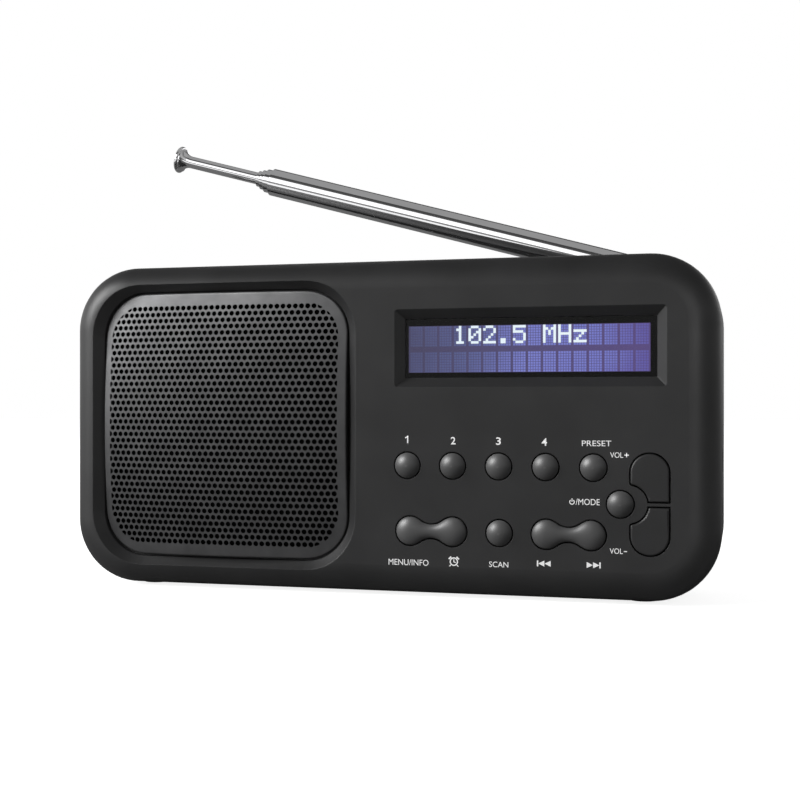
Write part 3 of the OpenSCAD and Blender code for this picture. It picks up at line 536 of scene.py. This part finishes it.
def build_grille():
    """The domed plate with every hole through it, its rolled rim and the skirt down to the ledge."""
    lo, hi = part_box("speaker_grille")
    x0, x1 = lo.x / MM, hi.x / MM
    h0, h1 = (lo.z - BASE) / MM, (hi.z - BASE) / MM
    apex, ledge = (lo.y - FACE) / MM, (hi.y - FACE) / MM
    cx, ch = (x0 + x1) / 2, (h0 + h1) / 2
    outline = rounded_outline(x0 + ROLL, x1 - ROLL, h0 + ROLL, h1 - ROLL, CORNER - ROLL, 1.1)
    border = [p for p, n in rounded_outline(x0 + 1.7, x1 - 2.2, h0 + 2.7, h1 - 2.7, 8.8, 1.2)]

    def depth(p):
        return apex + DOME - math.sqrt(DOME ** 2 - (p[0] - cx) ** 2 - (p[1] - ch) ** 2)

    flat = [p for p, n in outline]
    loops = [list(range(len(flat)))]
    for j in range(ROWS):
        h = ch - 0.1 + (j - (ROWS - 1) / 2) * ROW
        for i in range(-COLUMNS, COLUMNS + 1):
            x = cx - 0.25 + (i + 0.5 * (j % 2)) * COLUMN
            if abs(x - cx) > 34:
                continue
            hole = [Vector((x + HOLE_R * math.cos(a), h + HOLE_R * math.sin(a)))
                    for a in (2 * math.pi * (k + 0.5) / 12 for k in range(12))]
            inside = min(p.x for p in hole) > x0 + CORNER and max(p.x for p in hole) < x1 - CORNER
            inside = inside and min(p.y for p in hole) > h0 + 3 and max(p.y for p in hole) < h1 - 3
            if not inside:
                hole = clipped(hole, border)
            if len(hole) < 3 or area_of(hole) < 0.2 * math.pi * HOLE_R ** 2:
                continue
            tidy = [p for k, p in enumerate(hole) if (p - hole[k - 1]).length > 0.02]
            loops.append(list(range(len(flat), len(flat) + len(tidy))))
            flat += tidy
    edges = [(a, b) for loop in loops for a, b in zip(loop, loop[1:] + loop[:1])]
    out, _, triangles, origin, _, _ = delaunay_2d_cdt(flat, edges, [], 0, 1e-5)
    owner = {}
    for number, loop in enumerate(loops):
        for k in loop:
            owner[k] = number
    new_of = {}
    for k, sources in enumerate(origin):
        for s in sources:
            new_of.setdefault(s, k)
    owned = [owner[s[0]] if s else -1 for s in origin]
    count = len(out)
    front = [at(p.x, p.y, depth(p)) for p in out]
    back = [at(p.x, p.y, depth(p) + PLATE) for p in out]
    verts = front + back
    faces = []
    for t in triangles:
        if owned[t[0]] > 0 and owned[t[0]] == owned[t[1]] == owned[t[2]]:
            continue
        area = area_of([out[k] for k in t])
        if abs(area) < SLIVER:
            continue
        if area < 0:
            t = t[::-1]
        faces.append(tuple(t))
        faces.append(tuple(count + k for k in reversed(t)))
    for loop in loops[1:]:
        ids = [new_of[k] for k in loop]
        for a, b in zip(ids, ids[1:] + ids[:1]):
            faces.append((a, b, count + b, count + a))
    ring = [new_of[k] for k in loops[0]]
    rings = [ring]
    for turn in (22.5, 45, 67.5, 90):
        a = math.radians(turn)
        start = len(verts)
        for (p, n), k in zip(outline, ring):
            q = p + n * ROLL * math.sin(a)
            verts.append(at(q.x, q.y, depth(p) + ROLL * (1 - math.cos(a))))
        rings.append(list(range(start, start + len(ring))))
    start = len(verts)
    for p, n in outline:
        q = p + n * ROLL
        verts.append(at(q.x, q.y, ledge))
    rings.append(list(range(start, start + len(ring))))
    start = len(verts)
    for p, n in outline:
        verts.append(at(p.x, p.y, ledge))
    rings.append(list(range(start, start + len(ring))))
    rings.append([count + k for k in ring])
    for upper, lower in zip(rings, rings[1:]):
        for k in range(len(ring)):
            m = (k + 1) % len(ring)
            faces.append((upper[m], upper[k], lower[k], lower[m]))
    made = add_piece("grille_plate", verts, faces, grille_paint, "root", 30)
    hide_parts("speaker_grille")


build_grille()

# ---------- Speaker cloth ----------


def build_cloth():
    """A woven sheet with rounded corners, stretched behind the plate."""
    pitch = 0.75
    crimp = 0.03
    lo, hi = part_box("grille_cloth")
    cx, ch = (lo.x + hi.x) / 2 / MM, ((lo.z + hi.z) / 2 - BASE) / MM
    half_x, half_h = (hi.x - lo.x) / 2 / MM, (hi.z - lo.z) / 2 / MM
    depth = (lo.y - FACE) / MM
    corner = 9.7
    columns, rows = round(2 * half_x / pitch), round(2 * half_h / pitch)
    layers = []
    verts = []
    for face_d in (depth + 0.05, depth + 0.22):
        layer = []
        for j in range(rows + 1):
            for i in range(columns + 1):
                x = (2 * i / columns - 1) * half_x
                h = (2 * j / rows - 1) * half_h
                a = (abs(x) - half_x + corner) / corner
                b = (abs(h) - half_h + corner) / corner
                if a > 0 and b > 0:
                    x = math.copysign(half_x - corner + corner * a * math.sqrt(1 - b * b / 2), x)
                    h = math.copysign(half_h - corner + corner * b * math.sqrt(1 - a * a / 2), h)
                layer.append(len(verts))
                verts.append(at(cx + x, ch + h, face_d + (crimp if (i + j) % 2 else -crimp)))
        layers.append(layer)
    front, back = layers
    wide = columns + 1
    faces = []
    for j in range(rows):
        for i in range(columns):
            a = j * wide + i
            quad = (a, a + 1, a + wide + 1, a + wide)
            faces.append(tuple(front[k] for k in quad))
            faces.append(tuple(back[k] for k in reversed(quad)))
    border = list(range(wide)) + [j * wide + columns for j in range(1, rows + 1)]
    border += [rows * wide + i for i in range(columns - 1, -1, -1)]
    border += [j * wide for j in range(rows - 1, 0, -1)]
    for a, b in zip(border, border[1:] + border[:1]):
        faces.append((front[b], front[a], back[a], back[b]))
    made = add_piece("speaker_cloth", verts, faces, cloth, "root", 60)
    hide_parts("grille_cloth")


build_cloth()

# ---------- Rockers ----------

ROCKERS = ("menu_rocker", "skip_rocker")
LOBE = 3.34
LOBE_X = 5.09
WAIST = 1.57
WAIST_R = 4.5


def rocker_outline():
    """Closed dog-bone outline: the upper waist bend, the right lobe, and both turned half round."""
    bend_h = WAIST + WAIST_R
    lobe_stop = math.atan2(bend_h, -LOBE_X)
    bend_stop = math.atan2(LOBE_X, bend_h)
    top = []
    for k in range(13):
        a = -bend_stop + 2 * bend_stop * k / 12
        top.append(Vector((WAIST_R * math.sin(a), bend_h - WAIST_R * math.cos(a))))
    right = []
    for k in range(1, 40):
        a = lobe_stop - 2 * lobe_stop * k / 40
        right.append(Vector((LOBE_X + LOBE * math.cos(a), LOBE * math.sin(a))))
    bottom = [Vector((-p.x, -p.y)) for p in top]
    left = [Vector((-p.x, -p.y)) for p in right]
    return top + right + bottom + left


def build_rocker(node):
    """The CAD rocker's stem under a crowned top, low at the waist and high at both lobes."""
    lo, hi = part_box(node)
    cx, ch = (lo.x + hi.x) / 2 / MM, ((lo.z + hi.z) / 2 - BASE) / MM
    source = bmesh.new()
    source.from_mesh(NODES[node].data)
    bmesh.ops.remove_doubles(source, verts=source.verts, dist=1e-6)
    cut = FACE + 0.4 * MM
    geometry = source.verts[:] + source.edges[:] + source.faces[:]
    bmesh.ops.bisect_plane(source, geom=geometry, plane_co=(0, cut, 0), plane_no=(0, -1, 0),
                           clear_outer=True)
    source.verts.index_update()
    verts = [v.co.copy() for v in source.verts]
    faces = [tuple(v.index for v in f.verts) for f in source.faces]
    source.free()
    loop = rocker_outline()
    steps = 14
    rings = []
    for u in [None] + [1 - k / steps for k in range(steps)] + [0]:
        start = len(verts)
        for p in loop:
            spine_x = max(-LOBE_X, min(LOBE_X, p.x))
            spine = Vector((spine_x, 0))
            share = abs(spine_x) / LOBE_X
            share = share * share * (3 - 2 * share)
            crown = 0.78 + 0.42 * share
            if u is None:
                verts.append(at(cx + p.x, ch + p.y, 0.42))
            else:
                q = spine + (p - spine) * u
                rise = crown * (1 - u ** 2.2) ** 0.85
                verts.append(at(cx + q.x, ch + q.y, 0.05 - rise))
        rings.append(list(range(start, start + len(loop))))
    for outer, inner in zip(rings, rings[1:]):
        for k in range(len(loop)):
            m = (k + 1) % len(loop)
            faces.append((outer[m], outer[k], inner[k], inner[m]))
    mesh = bpy.data.meshes.new(node + "_pillow")
    mesh.from_pydata([tuple(v) for v in verts], [], faces)
    tidy = bmesh.new()
    tidy.from_mesh(mesh)
    bmesh.ops.remove_doubles(tidy, verts=tidy.verts, dist=1e-6)
    bmesh.ops.dissolve_degenerate(tidy, dist=1e-7, edges=tidy.edges)
    caps = bmesh.ops.holes_fill(tidy, edges=[e for e in tidy.edges if e.is_boundary], sides=0)
    bmesh.ops.triangulate(tidy, faces=caps["faces"])
    bmesh.ops.recalc_face_normals(tidy, faces=tidy.faces)
    tidy.to_mesh(mesh)
    tidy.free()
    mesh.materials.append(key_gloss.material)
    mesh.shade_smooth()
    mesh.set_sharp_from_angle(angle=math.radians(50))
    made = add_object(node + "_pillow", mesh)
    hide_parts(node)
    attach(made, node)


for rocker in ROCKERS:
    build_rocker(rocker)

# ---------- Printed labels ----------

PRINT = 0.02


class Flat:
    """Flat shapes on one plane, gathered into one thin raised mesh."""

    def __init__(self, depth, thick):
        self.verts = []
        self.faces = []
        self.front = depth - thick
        self.back = depth
        self.x = self.h = 0

    def start_from(self, node, across, up):
        """Measure what follows from a point of a CAD box, given from 0 at its low edges to 1."""
        lo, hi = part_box(node)
        self.x = (lo.x + across * (hi.x - lo.x)) / MM
        self.h = (lo.z + up * (hi.z - lo.z) - BASE) / MM

    def polygon(self, points):
        """A thin closed slab over a convex polygon, counter-clockwise seen from the front."""
        start = len(self.verts)
        n = len(points)
        self.verts += [at(self.x + x, self.h + h, self.front) for x, h in points]
        self.verts += [at(self.x + x, self.h + h, self.back) for x, h in points]
        self.faces.append(tuple(range(start, start + n)))
        self.faces.append(tuple(reversed(range(start + n, start + 2 * n))))
        for k in range(n):
            m = (k + 1) % n
            self.faces.append((start + m, start + k, start + n + k, start + n + m))

    def box(self, x0, x1, h0, h1):
        self.polygon([(x0, h0), (x1, h0), (x1, h1), (x0, h1)])

    def stroke(self, x0, h0, x1, h1, w):
        length = math.hypot(x1 - x0, h1 - h0)
        nx, nh = -(h1 - h0) / length * w / 2, (x1 - x0) / length * w / 2
        self.polygon([(x0 - nx, h0 - nh), (x1 - nx, h1 - nh), (x1 + nx, h1 + nh), (x0 + nx, h0 + nh)])

    def arc(self, x, h, r, w, start=0, stop=360, parts=28):
        for k in range(parts):
            a = math.radians(start + (stop - start) * k / parts)
            b = math.radians(start + (stop - start) * (k + 1) / parts)
            inner, outer = r - w / 2, r + w / 2
            self.polygon([(x + inner * math.cos(a), h + inner * math.sin(a)),
                          (x + outer * math.cos(a), h + outer * math.sin(a)),
                          (x + outer * math.cos(b), h + outer * math.sin(b)),
                          (x + inner * math.cos(b), h + inner * math.sin(b))])

    def words(self, text, x, h, height, width):
        """Lettering centred on (x, h) with the given capital height and width."""
        curve = bpy.data.curves.new("letters", "FONT")
        curve.body = text
        curve.resolution_u = 4
        curve.extrude = 0.5
        curve.offset = 0.016 if text.isdigit() else 0
        holder = add_object("letters", curve)
        bpy.context.view_layer.update()
        graph = bpy.context.evaluated_depsgraph_get()
        mesh = bpy.data.meshes.new_from_object(holder.evaluated_get(graph))
        joined = bmesh.new()
        joined.from_mesh(mesh)
        bmesh.ops.remove_doubles(joined, verts=joined.verts, dist=1e-4)
        bmesh.ops.recalc_face_normals(joined, faces=joined.faces)
        joined.to_mesh(mesh)
        joined.free()
        xs = [v.co.x for v in mesh.vertices]
        ys = [v.co.y for v in mesh.vertices]
        tall = height / (max(ys) - min(ys))
        wide = width / (max(xs) - min(xs))
        mid_x, mid_y = (max(xs) + min(xs)) / 2, (max(ys) + min(ys)) / 2
        start = len(self.verts)
        for v in mesh.vertices:
            d = self.front if v.co.z > 0 else self.back
            self.verts.append(at(self.x + x + (v.co.x - mid_x) * wide,
                                 self.h + h + (v.co.y - mid_y) * tall, d))
        self.faces += [tuple(start + k for k in p.vertices) for p in mesh.polygons]
        bpy.data.objects.remove(holder)
        bpy.data.curves.remove(curve)
        bpy.data.meshes.remove(mesh)


labels = Flat(0.005, PRINT)

# Words: node and the point of its box they start from, offset, capital height and width
for text, node, across, up, x, h, height, width in (
        ("2", "key_2", 0.5, 1, 0.18, 1.9, 1.75, 1.15),
        ("3", "key_3", 0.5, 1, -0.02, 1.87, 1.75, 1.15),
        ("4", "key_4", 0.5, 1, -0.26, 1.75, 1.75, 1.25),
        ("PRESET", "preset_key", 0.5, 1, 0.73, 1.53, 1.28, 6.6),
        ("VOL", "volume_up_key", 0, 1, -2.34, -0.33, 1.24, 2.9),
        ("VOL", "volume_down_key", 0, 0, -2.43, 0.815, 1.24, 2.93),
        ("/MODE", "mode_key", 0.5, 0.5, -7.32, 0.4, 1.4, 5.45),
        ("MENU/INFO", "menu_rocker", 0.5, 0, -5.47, -2.99, 1.4, 9.7),
        ("SCAN", "scan_key", 0.5, 0, -0.1, -3.23, 1.28, 4.5)):
    labels.start_from(node, across, up)
    labels.words(text, x, h, height, width)

# The 1, with its flag
labels.start_from("key_1", 0.5, 1)
labels.box(-0.05, 0.25, 1.23, 2.97)
labels.stroke(-0.5, 2.43, 0.2, 2.85, 0.26)

# Plus and minus
labels.start_from("volume_up_key", 0, 1)
labels.box(-0.63, 0.37, -0.44, -0.22)
labels.box(-0.24, -0.02, -0.83, 0.17)
labels.start_from("volume_down_key", 0, 0)
labels.box(-0.73, -0.05, 0.675, 0.895)

# Power sign
labels.start_from("mode_key", 0.5, 0.5)
labels.arc(-10.87, 0.35, 0.52, 0.2, 125, 415, 20)
labels.stroke(-10.87, 0.4, -10.87, 1.15, 0.2)

# Alarm clock, with two bells and two feet
labels.start_from("menu_rocker", 0.5, 0)
clock = 5.45
labels.arc(clock, -2.5, 0.86, 0.27)
labels.stroke(clock, -2.58, clock, -1.95, 0.2)
labels.stroke(clock - 0.08, -2.5, clock + 0.44, -2.75, 0.2)
for way in (-1, 1):
    labels.stroke(clock + way * 1.22, -1.92, clock + way * 0.62, -1.38, 0.34)
    labels.stroke(clock + way * 0.72, -3.28, clock + way * 1.05, -3.6, 0.24)

# Two arrows against a bar, for back and forward
labels.start_from("skip_rocker", 0.5, 0)
low, middle, high = -2.95, -2.28, -1.6
for centre, way in ((-5.47, -1), (5.53, 1)):
    bar_at = centre + way * 1.6
    labels.box(bar_at - 0.16, bar_at + 0.16, low, high)
    for k in (-1, 0):
        tip = centre + way * (1.45 + 1.45 * k)
        base = tip - way * 1.4
        points = [(tip, middle), (base, high), (base, low)]
        labels.polygon(points if way > 0 else points[::-1])
add_piece("label_print", labels.verts, labels.faces, glowing_ink, "root", 60)

# ---------- Display ----------

GLYPHS = {
    "1": "00100 01100 00100 00100 00100 00100 01110",
    "0": "01110 10001 10011 10101 11001 10001 01110",
    "2": "01110 10001 00001 00010 00100 01000 11111",
    ".": "00000 00000 00000 00000 00000 01100 01100",
    "5": "11111 10000 11110 00001 00001 10001 01110",
    "M": "10001 11011 10101 10101 10001 10001 10001",
    "H": "10001 10001 10001 11111 10001 10001 10001",
    "z": "00000 00000 11111 00010 00100 01000 11111",
}
MESSAGE = "   102.5 MHz    "


def build_display():
    """Two rows of 16 characters of 5 x 8 dots, with the message lit in the upper row."""
    lo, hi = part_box("lcd_panel")
    front = (lo.y - FACE) / MM
    left, right = 2.95, (hi.x - lo.x) / MM - 3.95
    pitch = (right - left) / 16
    cell = pitch - 0.5
    dot_w, dot_h = cell / 5, 4.8 / 8
    dim = Flat(front, 0.02)
    lit = Flat(front, 0.03)
    for layer in (dim, lit):
        layer.start_from("lcd_panel", 0, 1)
    for row, top in ((0, -3.45), (1, -9.55)):
        for column in range(16):
            letter = MESSAGE[column] if row == 0 else " "
            lines = GLYPHS.get(letter, "").split()
            x = left + 0.25 + column * pitch
            for j in range(8):
                for i in range(5):
                    on = j < len(lines) and lines[j][i] == "1"
                    gap = 0.0 if on else 0.06
                    (lit if on else dim).box(x + i * dot_w + gap, x + (i + 1) * dot_w - gap,
                                             top - (j + 1) * dot_h + gap, top - j * dot_h - gap)
    add_piece("lcd_cells", dim.verts, dim.faces, lcd_cell, "root", 60)
    add_piece("lcd_characters", lit.verts, lit.faces, lcd_lit, "root", 60)


build_display()

# ---------- Battery springs ----------


def build_springs():
    """A tapering coil for each battery cell, at alternate ends."""
    verts, faces = [], []
    lo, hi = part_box("battery_springs")
    left, right = lo.x / MM, hi.x / MM
    length = 7.2
    wire = 0.33
    turns, parts, around = 5.5, 150, 8
    cells = [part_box("battery_cell_%d" % i) for i in (1, 2, 3, 4)]
    for i, (a, b) in enumerate(cells):
        h = ((a.z + b.z) / 2 - BASE) / MM
        d = ((a.y + b.y) / 2 - FACE) / MM
        at_left = i % 2 == 0
        start = len(verts)
        for k in range(parts + 1):
            t = k / parts
            angle = 2 * math.pi * turns * t
            r = 3.05 - 0.9 * t
            run = wire + t * (length - 2 * wire)
            x = left + run if at_left else right - run
            out = Vector((0, math.sin(angle), math.cos(angle)))
            for m in range(around):
                round_wire = 2 * math.pi * m / around
                off = r + wire * math.cos(round_wire)
                shift = wire * math.sin(round_wire)
                verts.append(at(x + shift, h + out.z * off, d + out.y * off))
        for k in range(parts):
            for m in range(around):
                n = (m + 1) % around
                p = start + k * around
                faces.append((p + m, p + n, p + around + n, p + around + m))
        end = start + parts * around
        faces.append(tuple(reversed(range(start, start + around))))
        faces.append(tuple(range(end, end + around)))
    made = add_piece("battery_coils", verts, faces, nickel, "root", 60)
    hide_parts("battery_springs")


build_springs()

# ---------- Volume keys ----------


def ordered_loop(edges):
    """The vertices of one closed chain of edges, in order."""
    first = edges[0].verts[0]
    loop = [first]
    used = set()
    here = first
    while True:
        step = next((e for e in here.link_edges if e in edges and e not in used), None)
        if step is None:
            return loop
        used.add(step)
        here = step.other_vert(here)
        if here is first:
            return loop
        loop.append(here)


def build_volume_key(node):
    """The CAD key with its front edge rounded over."""
    radius = 0.42
    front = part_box(node)[0].y
    shape = bmesh.new()
    shape.from_mesh(NODES[node].data)
    bmesh.ops.remove_doubles(shape, verts=shape.verts, dist=1e-6)
    geometry = shape.verts[:] + shape.edges[:] + shape.faces[:]
    bmesh.ops.bisect_plane(shape, geom=geometry, plane_co=(0, front + radius * MM, 0),
                           plane_no=(0, -1, 0), clear_outer=True, dist=1e-7)
    bmesh.ops.remove_doubles(shape, verts=shape.verts, dist=4e-5)
    rim = [e for e in shape.edges if e.is_boundary]
    loop = ordered_loop(rim)
    flat = [Vector((v.co.x, v.co.z)) for v in loop]
    if area_of(flat) < 0:
        loop.reverse()
        flat.reverse()
    n = len(flat)
    inward = []
    for k in range(n):
        a = (flat[k] - flat[k - 1]).normalized()
        b = (flat[(k + 1) % n] - flat[k]).normalized()
        left = Vector((-a.y - b.y, a.x + b.x)).normalized()
        share = max(0.5, left.dot(Vector((-a.y, a.x))))
        inward.append(left / share)
    rings = [loop]
    for k in range(1, 6):
        a = math.pi / 2 * k / 5
        y = front + radius * MM * (1 - math.sin(a))
        inset = radius * MM * (1 - math.cos(a))
        rings.append([shape.verts.new((p.x + d.x * inset, y, p.y + d.y * inset))
                      for p, d in zip(flat, inward)])
    for outer, inner in zip(rings, rings[1:]):
        for k in range(n):
            m = (k + 1) % n
            shape.faces.new((outer[k], outer[m], inner[m], inner[k]))
    lid = shape.faces.new(rings[-1])
    bmesh.ops.triangulate(shape, faces=[lid])
    bmesh.ops.recalc_face_normals(shape, faces=shape.faces)
    mesh = bpy.data.meshes.new(node + "_rounded")
    shape.to_mesh(mesh)
    shape.free()
    mesh.materials.append(volume_plastic.material)
    mesh.shade_smooth()
    mesh.set_sharp_from_angle(angle=math.radians(40))
    made = add_object(node + "_rounded", mesh)
    flatten = made.modifiers.new("flat_faces", "WEIGHTED_NORMAL")
    flatten.keep_sharp = True
    flatten.weight = 100
    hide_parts(node)
    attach(made, node)


for name in ("volume_up_key", "volume_down_key"):
    build_volume_key(name)

# ---------- Lights kept to single pieces ----------

domed = [bpy.data.objects[rocker + "_pillow"] for rocker in ROCKERS]
domed += [NODES[name] for name in ("key_1", "key_2", "key_3", "key_4", "preset_key", "scan_key", "mode_key")]
back = [node for name, node in NODES.items() if name in ("rear_housing", "battery_door") or "screw" in name]
light_only(dome_light, domed)
light_only(grille_light, [bpy.data.objects["grille_plate"]])
light_only(back_fill, back)
